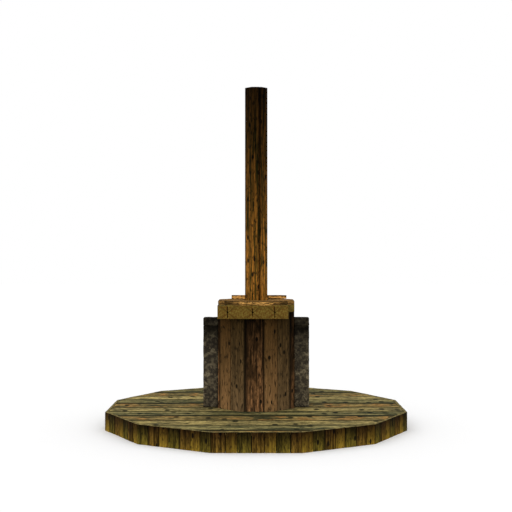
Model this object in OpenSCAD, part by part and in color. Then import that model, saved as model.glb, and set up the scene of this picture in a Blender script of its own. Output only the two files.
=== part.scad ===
// Windmill standing post on a twelve-sided plank deck: staved drum, side stones, head beam and lid.
// Millimetres, +Z up. The front faces -Y, the head beam runs along Y, the post stands on the Z axis.

/* [Deck] */
// Deck across its corners
deck_d = 4000; // [3700:10:4400]
// Deck height, ground to plank tops
deck_h = 237; // [200:1:320]
// Plank thickness
plank_t = 50; // [35:1:70]
// Plank width, joint to joint
plank_pitch = 337; // [290:1:380]
// Open joint between two planks
plank_gap = 12; // [4:1:20]
// Distance from the post axis to the first plank joint in front of it
plank_lead = 137; // [60:1:150]
// Narrowest board left at the front and back edges of the deck
plank_least = 50; // [30:1:60]
// Joist width
joist_w = 120; // [80:5:160]
// Thickness of the upright rim boarding
rim_t = 40; // [25:1:60]

/* [Drum] */
// Drum across its flats
drum_w = 1000; // [960:5:1080]
// Thickness of the staves
drum_wall = 60; // [40:1:70]
// Depth of the seat that the beam timbers have in the drum
seat_depth = 72; // [40:1:100]
// Thickness of the lid boards
lid_t = 52; // [36:1:80]
// Width of one lid board, joint to joint
lid_pitch = 200; // [180:1:220]
// Open joint between two lid boards
lid_gap = 5; // [2:1:10]

/* [Head beam] */
// Underside of the beam timbers above the deck
beam_z = 1189; // [1080:1:1300]
// Height of the beam timbers
beam_t = 170; // [140:1:210]
// Length that stands out of the drum, in front and behind
beam_nose = 40; // [35:1:90]
// How far the left side of the beam stays inside the drum's left side
beam_inset = 6; // [4:1:30]
// Packing at the right of the beam, between it and the outside of the drum
curb_t = 89; // [50:1:110]
// Clearance between the beam and the packing and drum walls beside it
side_clear = 3; // [1:1:6]
// Open joint between two timbers
timber_gap = 3; // [2:1:10]

/* [Batten] */
// Length of the batten that lies on the lid behind the post
batten_l = 746; // [640:1:780]
// Height of the batten above the lid
batten_t = 46; // [30:1:60]
// Width of the batten, front to back
batten_w = 90; // [60:1:110]
// Front of the batten in front of the lid's back edge
batten_in = 217; // [170:1:260]
// Middle of the batten to the right of the post axis
batten_x = 38; // [0:1:60]

/* [Post] */
// Post across its flats
post_w = 296; // [250:1:330]
// Top of the post above the deck
post_h = 4216; // [3600:1:4800]
// Clearance round the post where it passes the timbers and the lid
post_clear = 4; // [2:1:8]

/* [Side stones] */
// How far each stone stands out from the drum
stone_out = 200; // [120:5:280]
// Stone thickness, front to back
stone_w = 240; // [160:5:320]
// Top of the stones above the deck
stone_h = 1176; // [1000:1:1250]
// Height of the coping course
coping_h = 105; // [70:1:150]

/* [Hidden] */
// Rim and inner outlines of the deck
deck_r = deck_d / 2;
deck_in_r = deck_r - rim_t / cos(15);
deck_in_a = deck_in_r * cos(15);
plank_z = deck_h - plank_t;
// Plank joints: full boards in the middle, the end boards fill up to the rim
joint_k = [for (k = [-8:8])
    if (abs(k * plank_pitch - plank_lead) < deck_in_a - plank_least) k];
plank_n = len(joint_k) + 1;
// Joists, the outermost just inside the rim
joist_side = 3;
joist_pitch = (deck_in_a - joist_w) / joist_side;
// Drum outlines
drum_r = drum_w / 2 / cos(22.5);
drum_in_r = (drum_w / 2 - drum_wall) / cos(22.5);
drum_top = beam_z + seat_depth;
lid_z = beam_z + beam_t;
// Beam beside its packing, shared by three timbers of one width
beam_left = -drum_w / 2 + beam_inset;
beam_right = drum_w / 2 - curb_t - side_clear;
timber_w = (beam_right - beam_left) / 3;
post_room_a = post_w / 2 + post_clear;
beam_end = drum_w / 2 + beam_nose;
batten_y = drum_w / 2 - batten_in;
// Longer than any piece, for cuts
far = 2 * deck_d;

// Which sub-part to draw

// Corner of a regular outline: radius r, angle a
function at(r, a) = [r * cos(a), r * sin(a)];

// Twelve-sided prism with a flat side to the front
module twelve(r, h) {
    rotate([0, 0, 15]) cylinder(r = r, h = h, $fn = 12);
}

// Eight-sided prism with a flat side to the front
module eight(r, h) {
    rotate([0, 0, 22.5]) cylinder(r = r, h = h, $fn = 8);
}

// Room that the head beam takes in the drum, with side clearance
module beam_room() {
    translate([beam_left - side_clear, -far, deck_h + beam_z])
        cube([beam_right - beam_left + 2 * side_clear, 2 * far, far]);
}

// Room for the post, with clearance
module post_room() {
    eight(post_room_a / cos(22.5), deck_h + post_h);
}

// Deck planks, laid left to right on the joists
module deck_planks() {
    color("#6a5e3c")
    for (i = [0:plank_n - 1]) {
        y0 = i == 0 ? -far : joint_k[i - 1] * plank_pitch - plank_lead + plank_gap / 2;
        y1 = i == plank_n - 1 ? far : joint_k[i] * plank_pitch - plank_lead - plank_gap / 2;
        intersection() {
            translate([0, 0, plank_z]) twelve(deck_in_r, plank_t);
            translate([-far, y0, plank_z]) cube([2 * far, y1 - y0, plank_t]);
        }
    }
}

// Joists, front to back under the planks
module deck_joists() {
    color("#57482c")
    for (i = [-joist_side:joist_side]) {
        intersection() {
            twelve(deck_in_r, plank_z);
            translate([i * joist_pitch - joist_w / 2, -far, 0]) cube([joist_w, 2 * far, plank_z]);
        }
    }
}

// One side of the rim, mitred to its neighbours; side 1 is the front, counted to the right
module rim_side(i) {
    a = 30 * i - 135;
    color("#6b5520")
    linear_extrude(height = deck_h)
        polygon([at(deck_r, a), at(deck_r, a + 30), at(deck_in_r, a + 30), at(deck_in_r, a)]);
}

// One wall of the drum, mitred to its neighbours; wall 0 is the front, counted to the right
module drum_wall_panel(i, top) {
    a = 45 * i - 112.5;
    color("#5c4428")
    difference() {
        translate([0, 0, deck_h])
            linear_extrude(height = top)
                polygon([at(drum_r, a), at(drum_r, a + 45), at(drum_in_r, a + 45), at(drum_in_r, a)]);
        beam_room();
    }
}

// Packing piece between the drum, the lid and the right side of the beam
module curb_right() {
    color("#7a5c30")
    intersection() {
        translate([0, 0, deck_h + drum_top]) eight(drum_r, beam_t - seat_depth);
        translate([beam_right + side_clear, -far, 0]) cube([far, 2 * far, far]);
    }
}

// Lid boards, laid left to right over the timbers and cut round the post
module lid_boards() {
    color("#8a6a3a")
    difference() {
        for (i = [-2:2]) {
            intersection() {
                translate([0, 0, deck_h + lid_z]) eight(drum_r, lid_t);
                lid_strip(i);
            }
        }
        post_room();
    }
}

// Strip that one lid board takes, the end boards run out to the edge
module lid_strip(i) {
    y0 = i == -2 ? -far : (i - 0.5) * lid_pitch + lid_gap / 2;
    y1 = i == 2 ? far : (i + 0.5) * lid_pitch - lid_gap / 2;
    translate([-far, y0, 0]) cube([2 * far, y1 - y0, far]);
}

// Batten across two lid boards behind the post, its ends cut off with the edge of the lid
module lid_batten() {
    color("#8a6a3a")
    intersection() {
        translate([0, 0, deck_h + lid_z + lid_t]) eight(drum_r, batten_t);
        translate([batten_x - batten_l / 2, batten_y, 0]) cube([batten_l, batten_w, far]);
    }
}

// One timber of the head beam from y0 to y1, place 0 to 2 from the left, notched round the post
module beam_timber(place, y0, y1) {
    x0 = beam_left + place * timber_w + (place == 0 ? 0 : timber_gap / 2);
    x1 = beam_left + (place + 1) * timber_w - (place == 2 ? 0 : timber_gap / 2);
    color("#6b5a26")
    difference() {
        translate([x0, y0, deck_h + beam_z]) cube([x1 - x0, y1 - y0, beam_t]);
        post_room();
    }
}

// Octagonal standing post, from the planks to its sawn top
module post() {
    color("#5a3c16")
    translate([0, 0, deck_h]) eight(post_w / 2 / cos(22.5), post_h);
}

// Side stone, side -1 left and 1 right
module stone(side) {
    color("#454036")
    translate([side > 0 ? drum_w / 2 : -drum_w / 2 - stone_out, -stone_w / 2, deck_h])
        cube([stone_out, stone_w, stone_h - coping_h]);
}

// Coping course of a side stone
module coping(side) {
    color("#4e483c")
    translate([side > 0 ? drum_w / 2 : -drum_w / 2 - stone_out, -stone_w / 2, deck_h + stone_h - coping_h])
        cube([stone_out, stone_w, coping_h]);
}

deck_planks();
deck_joists();
rim_side(1);  // rim_side_01
rim_side(2);  // rim_side_02
rim_side(3);  // rim_side_03
rim_side(4);  // rim_side_04
rim_side(5);  // rim_side_05
rim_side(6);  // rim_side_06
rim_side(7);  // rim_side_07
rim_side(8);  // rim_side_08
rim_side(9);  // rim_side_09
rim_side(10);  // rim_side_10
rim_side(11);  // rim_side_11
rim_side(12);  // rim_side_12
drum_wall_panel(0, beam_z);  // drum_front
drum_wall_panel(1, drum_top);  // drum_front_right
drum_wall_panel(2, drum_top);  // drum_right
drum_wall_panel(3, drum_top);  // drum_back_right
drum_wall_panel(4, beam_z);  // drum_back
drum_wall_panel(5, beam_z);  // drum_back_left
drum_wall_panel(6, beam_z);  // drum_left
drum_wall_panel(7, beam_z);  // drum_front_left
curb_right();
lid_boards();
lid_batten();
beam_timber(0, -beam_end, beam_end);  // beam_timber_left
beam_timber(1, -beam_end, -post_room_a);  // beam_timber_front
beam_timber(1, post_room_a, beam_end);  // beam_timber_back
beam_timber(2, -beam_end, beam_end);  // beam_timber_right
post();
stone(-1);  // stone_left
stone(1);  // stone_right
coping(-1);  // coping_left
coping(1);  // coping_right
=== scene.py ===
"""Dresses a windmill post on its plank deck with boards, staves, timbers, stones and nails."""

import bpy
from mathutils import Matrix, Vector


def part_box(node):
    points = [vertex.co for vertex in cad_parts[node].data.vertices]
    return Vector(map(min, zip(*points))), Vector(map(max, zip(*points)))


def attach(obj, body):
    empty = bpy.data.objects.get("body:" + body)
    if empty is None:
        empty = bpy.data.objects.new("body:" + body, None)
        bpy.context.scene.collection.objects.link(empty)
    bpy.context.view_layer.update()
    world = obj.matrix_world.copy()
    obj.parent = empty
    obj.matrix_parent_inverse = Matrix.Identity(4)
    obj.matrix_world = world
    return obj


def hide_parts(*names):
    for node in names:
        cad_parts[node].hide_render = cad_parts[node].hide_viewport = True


bl_info = {
    "name": "Windmill post on a plank deck",
    "version": (1, 0, 0),
    "blender": (4, 5, 0),
    "location": "View3D > Sidebar > Windmill",
    "description": "Builds the boards, staves, timbers, stones and nails of a windmill post on its deck",
    "category": "Object",
}

import math
import random

import bmesh
import bpy
from bpy.props import FloatProperty, FloatVectorProperty, PointerProperty
from bpy.types import Operator, Panel, PropertyGroup
from mathutils import Matrix, Vector, noise

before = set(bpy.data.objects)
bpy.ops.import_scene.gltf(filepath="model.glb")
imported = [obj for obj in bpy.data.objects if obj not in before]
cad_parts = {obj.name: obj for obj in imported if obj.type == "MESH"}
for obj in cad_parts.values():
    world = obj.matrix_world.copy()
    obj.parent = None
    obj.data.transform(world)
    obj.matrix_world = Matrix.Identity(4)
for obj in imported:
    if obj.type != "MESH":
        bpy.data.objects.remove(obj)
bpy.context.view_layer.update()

MM = 0.001

# Kinds of board, by the tone that the saw and the weather left them
KINDS = ("red", "gold", "olive")
RED, GOLD, OLIVE = 0, 1, 2

# Sides of the two outlines, both with a flat side to the front
DECK_SIDES = 12
DRUM_SIDES = 8

# Seeds of the differences between like boards, and the furthest that a board's grain is shifted
DECK_SEED, RIM_SEED, STAVE_SEED, LID_SEED = 11, 23, 37, 51
JOIST_SEED, BATTEN_SEED = 40, 61
GRAIN_SHIFT = 40

# Edges shorter than this are closed up, and points nearer than this share a place
LEAST_EDGE = 0.00005
SAME_PLACE = 0.0001

# Angle between two faces above which their edge is an arris, on boards and on hewn timbers, and below
# which they are one flat face
SHARP, SHARP_TIMBER, FLAT = math.radians(40), math.radians(60), 0.01
# Least share of a face's normal along an axis, for the face to look that way, to be an end and to be a top
FACING, END_FACING, TOP_FACING = 0.9, 0.7, 0.5
# Marks of end grain and of a shake in it
END_MARK, SHAKE_MARK = 1.0, 2.0

# Cells of each kind of board along, across and through it
PLANK_CELLS, JOIST_CELLS, RIM_CELLS = (44, 4, 1), (24, 1, 1), (6, 1, 1)
STAVE_CELLS, BATTEN_CELLS = (18, 2, 1), (8, 1, 1)

# Bends of a sawn edge to a metre along and across the board, and the step from board to board
WANDER_BENDS = (2.3, 4.0, 1.7)

# Dirt starts this far outside the edge of a board, and is this wide along the edges of a timber
DIRT_MARGIN = 0.002
TIMBER_DIRT = (0.01, 0.01)

# Deck boards: distance of the joints, how far one lies in front of the post, and the narrowest board
PLANK_PITCH = 0.337
PLANK_LEAD = 0.137
PLANK_LEAST = 0.05
# Kinds of the deck boards from the front, in a run that repeats, and the limits of their tones
PLANK_KINDS = (RED, OLIVE, GOLD)
PLANK_TONES = (0.9, 1.1)
# Worn hollows of the deck boards: depth, number to a metre along and across, and the step between boards
PLANK_WEAR = 0.004
PLANK_HOLLOWS = (0.9, 6.0, 3.1)
# Room between the deck boards and the rim
DECK_MARGIN = 0.002
# Width of the dirt on the olive and the red board of a strong joint, along other joints and at the rim
STRONG_DIRT = (0.10, 0.04)
PLAIN_DIRT = 0.035
DECK_EDGE_DIRT = 0.002

# Joists on each side of the middle one, with their tone and the step of their grain
JOISTS_EACH_WAY = 3
JOIST_TONE, JOIST_SHIFT = 0.8, 3.7

# Deck nails: distance from a board's edge, drift along it and its bends, and room to the drum and the rim
DECK_NAIL_INSET, DECK_NAIL_DRIFT = 0.05, 0.03
DECK_NAIL_BENDS = (9.0, 5.0, 0.3)
DECK_NAIL_DRUM, DECK_NAIL_RIM = 0.02, 0.03
# A nail's sides, its seat under the wood, and its height, crown and rise as shares of radius and height
NAIL_SIDES, NAIL_SEAT = 8, 0.004
NAIL_HEIGHT, NAIL_CROWN, NAIL_RISE = 0.45, 0.35, 0.3

# Rim boards: widths from one strong joint to the next, where the run starts, and the narrowest board
RIM_RUN = ((RED, 0.1505), (GOLD, 0.131), (OLIVE, 0.1622))
RIM_START = -0.0555
RIM_LEAST = 0.04
# How far a rim board may lie behind its side and end below the deck, and the gap at a corner
RIM_SUNK, RIM_SHORT, RIM_MITRE = 0.006, 0.002, 0.001
# Limits of the rim boards' tones, and the step of their wander to a metre of the run
RIM_TONES = (0.92, 1.08)
RIM_STEP = 31
# Width of the dirt along the left and the right edge of an upright board, by kind
RIM_DIRT = {RED: (0.018, 0.008), GOLD: (0.008, 0.006), OLIVE: (0.006, 0.012)}
# Rim nails: the narrowest board that has them, place from foot and head, drift, and share of the radius
RIM_NAILED = 0.08
RIM_NAIL_FOOT, RIM_NAIL_HEAD, RIM_NAIL_DRIFT = 0.06, 0.045, 0.02
RIM_NAIL_SHARE = 0.7

# Staves, as the rim boards
STAVE_RUN = ((RED, 0.240), (GOLD, 0.208), (OLIVE, 0.235))
STAVE_START = -0.147
STAVE_LEAST = 0.03
STAVE_SUNK, STAVE_MITRE = 0.004, 0.0005
STAVE_TONES = (0.97, 1.03)
STAVE_STEP = 17
STAVE_DIRT = {RED: (0.085, 0.018), GOLD: (0.030, 0.009), OLIVE: (0.012, 0.030)}
CORNER_DIRT = 0.004
# The narrowest stave that has nails, and by kind their heights above the deck and places across it
STAVE_NAILED = 0.1
STAVE_NAILS = {
    RED: ((0.173, -0.25), (0.250, 0.25), (0.640, 0.05), (0.825, 0.42), (1.120, -0.2)),
    GOLD: ((0.199, -0.15), (0.509, -0.1), (0.700, 0.25), (0.966, -0.3)),
    OLIVE: ((0.075, 0.2), (0.308, 0.15), (0.600, -0.3), (0.716, 0.25), (0.812, -0.25), (1.097, 0.2)),
}
# Room between the head beam and a stave beside it, and the least height that a stave gains there
BEAM_ROOM = 0.003
LEAST_RISE = 0.001

# Walls of the drum, from the front to the right
WALLS = ("front", "front_right", "right", "back_right", "back", "back_left", "left", "front_left")

# Lid boards on each side of the middle one, their pitch, joint and unevenness, and their dirt
LID_EACH_WAY = 2
LID_PITCH, LID_GAP, LID_DROP = 0.2, 0.005, 0.004
LID_DIRT, LID_EDGE_DIRT = 0.012, 0.001
LID_TONES = (0.9, 1.1)
# A lid face is upright below the first slope and flat above the second
LID_UPRIGHT, LID_FLAT = 0.3, 0.95
# How much darker cut ends are, and what is left of the tone on the sloping faces of a worn arris, a painted
# shade
LID_END_LOSS, LID_ARRIS_SHADE = 0.25, 0.4
# Batten: tone, shift of the grain and room to the lid's edge
BATTEN_TONE, BATTEN_SHIFT, BATTEN_MARGIN = 1.45, 21.7, 0.001
# Packing: tone, shift of the grain, and half the width that its dirt is measured from
PACKING_TONE, PACKING_SHIFT, PACKING_HALF = 1.2, 7.7, 0.5

# Room round the post in the lid and the beam
POST_ROOM = 0.004

# Timbers of the head beam: how far the heart lies left of the middle, and the shake's reach up and down
# as a share of the height
TIMBERS = (("left", 0.022, 0.43), ("front", 0.003, 0.30), ("back", 0.003, 0.40), ("right", 0.022, 0.43))
# Length of a timber's cells and the least number of them, and the step of tone and grain between timbers
TIMBER_CELL, TIMBER_LEAST_CELLS = 0.1, 4
TIMBER_TONE_STEP, TIMBER_SHIFT = 0.04, 6.3
# Share of the timbers' arris that the hewn beam has
BEAM_ARRIS_SHARE = 0.15
# Heart shakes: half their width, where the side cracks start, reach and lean of those, and depth
HEART_SLIT, HEART_NICK, HEART_DEPTH = 0.006, 0.009, 0.04
HEART_TIPS, HEART_LEAN = (0.012, 0.020), (0.3, 0.6)

# Post: cuts across it, share of the timbers' arris, and the step of its grain from side to side
POST_CUTS = 84
POST_ARRIS_SHARE = 0.6
POST_GRAIN_STEP = (3.1, 0.53)
# Drying shakes of the post: the side each is in and its distance from the middle of the side
POST_SHAKES = ((0, 0.046), (3, -0.03), (5, 0.05))
# Half the width of a shake, of a shake with its stained lips, and the depth of a shake
SHAKE_SLIT, SHAKE_LIP, SHAKE_DEPTH = 0.009, 0.024, 0.026
# How far a shake wanders, its bends to a metre, the bends of its depth, and the tone of its walls and lips
SHAKE_DRIFT, SHAKE_BENDS, SHAKE_DEPTH_BENDS, SHAKE_WALL_AND_LIP_TONE = 0.006, 1.3, 2.1, 0.5
# Mean and swing of a shake's depth, as shares, and the row of the noise that they follow
SHAKE_MEAN, SHAKE_SWING, SHAKE_ROW = 0.75, 0.5, 5.0

# Stones: rounding of the arrises, size of the cells that are hewn, and bumps to a metre
STONE_ARRIS, STONE_CELL, STONE_LEAST_CELLS = 0.008, 0.016, 3
STONE_BUMPS = 14.0
# Fall in strength, step in size and number of the layers of bumps
STONE_LAYERS = (0.9, 2.0, 4)
# Painted shade on the stones, as the brightness left at each share of their height: darkest under the coping,
# lighter on it, and a little darker at the foot
STONE_SHADE_BY_HEIGHT = (
    (0.0, 0.8), (0.15, 0.9), (0.35, 1.0), (0.6, 0.72), (0.78, 0.38),
    (0.86, 0.10), (0.905, 0.09), (0.915, 0.22), (1.0, 0.22),
)

# Shares in sawn wood: streaks in the edge of the dirt, tone lost on end grain, marks and rings in the relief
DIRT_STREAKS, END_LOSS, MARK_RELIEF, RING_RELIEF = 0.9, 0.3, 1.2, 0.3
# Growth rings along a board, as a share of those across it
RING_STRETCH = 0.05
# Scale at which a wave texture draws one band to a unit
WAVE_UNIT = math.tau / 20
# Sockets of a node that mixes two colours
MIX_FACTOR, MIX_FIRST, MIX_SECOND, MIX_RESULT = 0, 6, 7, 2
# The eye's curve, between a shade as seen and as light
SEEN = 2.2

# The photograph's camera: level, in front of the deck's middle, in metres, with its lens in millimetres
CAMERA_DISTANCE = 12.79
CAMERA_SIDE = -0.003
CAMERA_HEIGHT = 2.228
CAMERA_LENS, CAMERA_SENSOR = 67.6, 36.0

# Studio: half the floor's width, the sun's place, aim, strength and softness, and the dome's strength
FLOOR_HALF = 60.0
KEY_PLACE, KEY_AIM = (-3.0, -8.5, 9.0), (0.0, 0.0, 1.5)
KEY_STRENGTH, KEY_SOFTNESS = 0.5, math.radians(70)
DOME_STRENGTH = 0.95
WHITE = (1.0, 1.0, 1.0, 1.0)
FLOOR_WHITE = (0.98, 0.98, 0.98, 1.0)


def srgb(code):
    """Linear colour of an sRGB hex code."""
    parts = [int(code[i:i + 2], 16) / 255 for i in (0, 2, 4)]
    return tuple(c / 12.92 if c <= 0.04045 else ((c + 0.055) / 1.055) ** 2.4 for c in parts)


def colour_property(label, use, code):
    """A colour that the user can change, from its sRGB hex code."""
    return FloatVectorProperty(
        name=label, description=use, subtype="COLOR", size=3, min=0.0, max=1.0, default=srgb(code)
    )


def length_property(label, use, value):
    """A length in metres that the user can change."""
    return FloatProperty(name=label, description=use, default=value, min=0.0, unit="LENGTH", precision=4)


class WindmillSizes(PropertyGroup):
    """Sizes of the boards' finish"""

    board_arris: length_property("Board arris", "Rounding of the edges of boards", 0.004)
    lid_arris: length_property("Lid arris", "Radius of the worn arrises of the lid boards", 0.010)
    timber_arris: length_property("Timber arris", "Rounding of the edges of squared timbers", 0.009)
    timber_closing: length_property("Timber closing", "Closed part of the joint between two timbers", 0.0024)
    board_wander: length_property("Board wander", "How far a sawn edge wanders inwards", 0.004)
    strong_gap: length_property("Strong joint", "Width of the joint between a dark and a red board", 0.012)
    plain_gap: length_property("Plain joint", "Width of the other joints between boards", 0.004)
    stave_gap: length_property("Stave joint", "Width of the joint between two staves", 0.002)
    stave_arris: length_property("Stave arris", "Rounding of the edges of staves", 0.0025)
    nail_radius: length_property("Nail radius", "Radius of a forged nail head", 0.011)
    stone_relief: length_property("Stone relief", "Depth of the hewn surface of the stones", 0.005)


class WindmillColours(PropertyGroup):
    """Colours of the finishes"""

    deck_red: colour_property("Deck red", "Orange-brown deck boards", "9b844e")
    deck_gold: colour_property("Deck gold", "Pale olive deck boards", "ac995e")
    deck_olive: colour_property("Deck olive", "Grey-green deck boards", "8e8252")
    deck_red_dark: colour_property("Deck red, dark", "Dark streaks of orange-brown deck boards", "3c3b25")
    deck_gold_dark: colour_property("Deck gold, dark", "Dark streaks of pale deck boards", "5a5336")
    deck_olive_dark: colour_property("Deck olive, dark", "Dark streaks of grey-green deck boards", "3a3c27")
    deck_patch: colour_property("Deck patch", "Orange patches in the deck boards", "a0763f")
    rim_red: colour_property("Rim red", "Red-brown rim boards", "806426")
    rim_gold: colour_property("Rim gold", "Golden rim boards", "947929")
    rim_olive: colour_property("Rim olive", "Dark olive rim boards", "766624")
    rim_red_dark: colour_property("Rim red, dark", "Dark streaks of red-brown rim boards", "4a3812")
    rim_gold_dark: colour_property("Rim gold, dark", "Dark streaks of golden rim boards", "6c551d")
    rim_olive_dark: colour_property("Rim olive, dark", "Dark streaks of olive rim boards", "433a14")
    stave_red: colour_property("Stave red", "Red-brown staves", "a8784c")
    stave_gold: colour_property("Stave gold", "Light brown staves", "967148")
    stave_olive: colour_property("Stave olive", "Dull brown staves", "7e6443")
    stave_red_dark: colour_property("Stave red, dark", "Dark streaks of red-brown staves", "4a3521")
    stave_gold_dark: colour_property("Stave gold, dark", "Dark streaks of light brown staves", "7d5f3b")
    stave_olive_dark: colour_property("Stave olive, dark", "Dark streaks of dull brown staves", "5c4930")
    stave_patch: colour_property("Stave patch", "Dark patches in the red-brown staves", "402e1a")
    lid_light: colour_property("Lid light", "Tan tops of the lid boards", "ac8044")
    lid_dark: colour_property("Lid dark", "Dark streaks in the lid boards", "4a3719")
    lid_edge: colour_property("Lid edge", "Fresher edges of the lid boards", "d09c54")
    lid_edge_dark: colour_property("Lid edge dark", "Dark streaks in those edges", "352810")
    beam_side: colour_property("Beam side", "Hewn sides of the beam timbers and the packing", "75632b")
    beam_side_dark: colour_property("Beam side, dark", "Dark streaks of the hewn sides", "47391a")
    beam_end: colour_property("Beam end", "End grain of the beam timbers", "72602a")
    beam_end_dark: colour_property("Beam end, dark", "Late rings of the end grain", "543612")
    # Painted shade on the walls of the heart shakes, and the colour of the drawn drying checks
    beam_check_and_shake_shade: colour_property("Beam shake", "Heart shakes in the end grain", "2a1906")
    post_light: colour_property("Post light", "Orange streaks of the post", "c27f31")
    post_dark: colour_property("Post dark", "Dark streaks of the post", "3e3814")
    stone_light: colour_property("Stone light", "Lighter mottles of the stones", "6a604c")
    stone_dark: colour_property("Stone dark", "Dark ground of the stones", "39332a")
    stone_vein: colour_property("Stone vein", "Pale veins of the stones", "8b7f65")
    joint_dirt: colour_property("Joint dirt", "Wet dirt in joints, cracks and knots", "1a1710")
    deck_dirt: colour_property("Deck dirt", "Green-black dirt in the joints of the deck", "1d1f14")
    nail_iron: colour_property("Nail iron", "Rusted iron of the nails", "1d1710")


def add_node(tree, kind, inputs=None, out=0, stops=None, blend="LINEAR", **settings):
    """Adds a shader node with its settings and its inputs, as values or links, and gives one output.

    stops and blend are those of a colour ramp. An out of None gives all the outputs.
    """
    node = tree.nodes.new(f"ShaderNode{kind}")
    for key, value in settings.items():
        setattr(node, key, value)
    for key, value in (inputs or {}).items():
        if isinstance(value, bpy.types.NodeSocket):
            tree.links.new(value, node.inputs[key])
        else:
            node.inputs[key].default_value = value
    if stops:
        ramp = node.color_ramp
        ramp.interpolation = blend
        while len(ramp.elements) < len(stops):
            ramp.elements.new(1.0)
        for element, (place, colour) in zip(ramp.elements, stops):
            element.position = place
            element.color = (*colour, 1.0)
    return node.outputs if out is None else node.outputs[out]


def grey(value):
    """A grey as a colour."""
    return (value, value, value)


def new_material(name):
    """An empty principled material and its tree and shader."""
    material = bpy.data.materials.new(name)
    material.use_nodes = True
    return material, material.node_tree, material.node_tree.nodes["Principled BSDF"]


def set_surface(tree, shader, colour, relief, roughness, shine, wear, depth):
    """Joins a colour and a relief to the shader of a dull surface."""
    tree.links.new(colour, shader.inputs["Base Color"])
    shader.inputs["Roughness"].default_value = roughness
    shader.inputs["Specular IOR Level"].default_value = shine
    bump = add_node(tree, "Bump", {"Strength": wear, "Distance": depth, "Height": relief}, "Normal")
    tree.links.new(bump, shader.inputs["Normal"])


def grain_noise(tree, grain, size, shift=(0.0, 0.0, 0.0), **inputs):
    """Noise drawn out along the grain, with spots of a length and width in millimetres."""
    scale = (1 / (size[0] * MM), 1 / (size[1] * MM), 1.0)
    place = add_node(tree, "Mapping", {"Vector": grain, "Location": shift, "Scale": scale})
    return add_node(tree, "TexNoise", {"Vector": place, "Scale": 1.0, **inputs}, "Fac", noise_dimensions="2D")


def by_kind(values):
    """Stops of a ramp over the kinds of board; the last of fewer than three values serves the kinds left."""
    return [(0.0, values[0]), (0.25, values[1 % len(values)]), (0.75, values[-1])]


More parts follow.
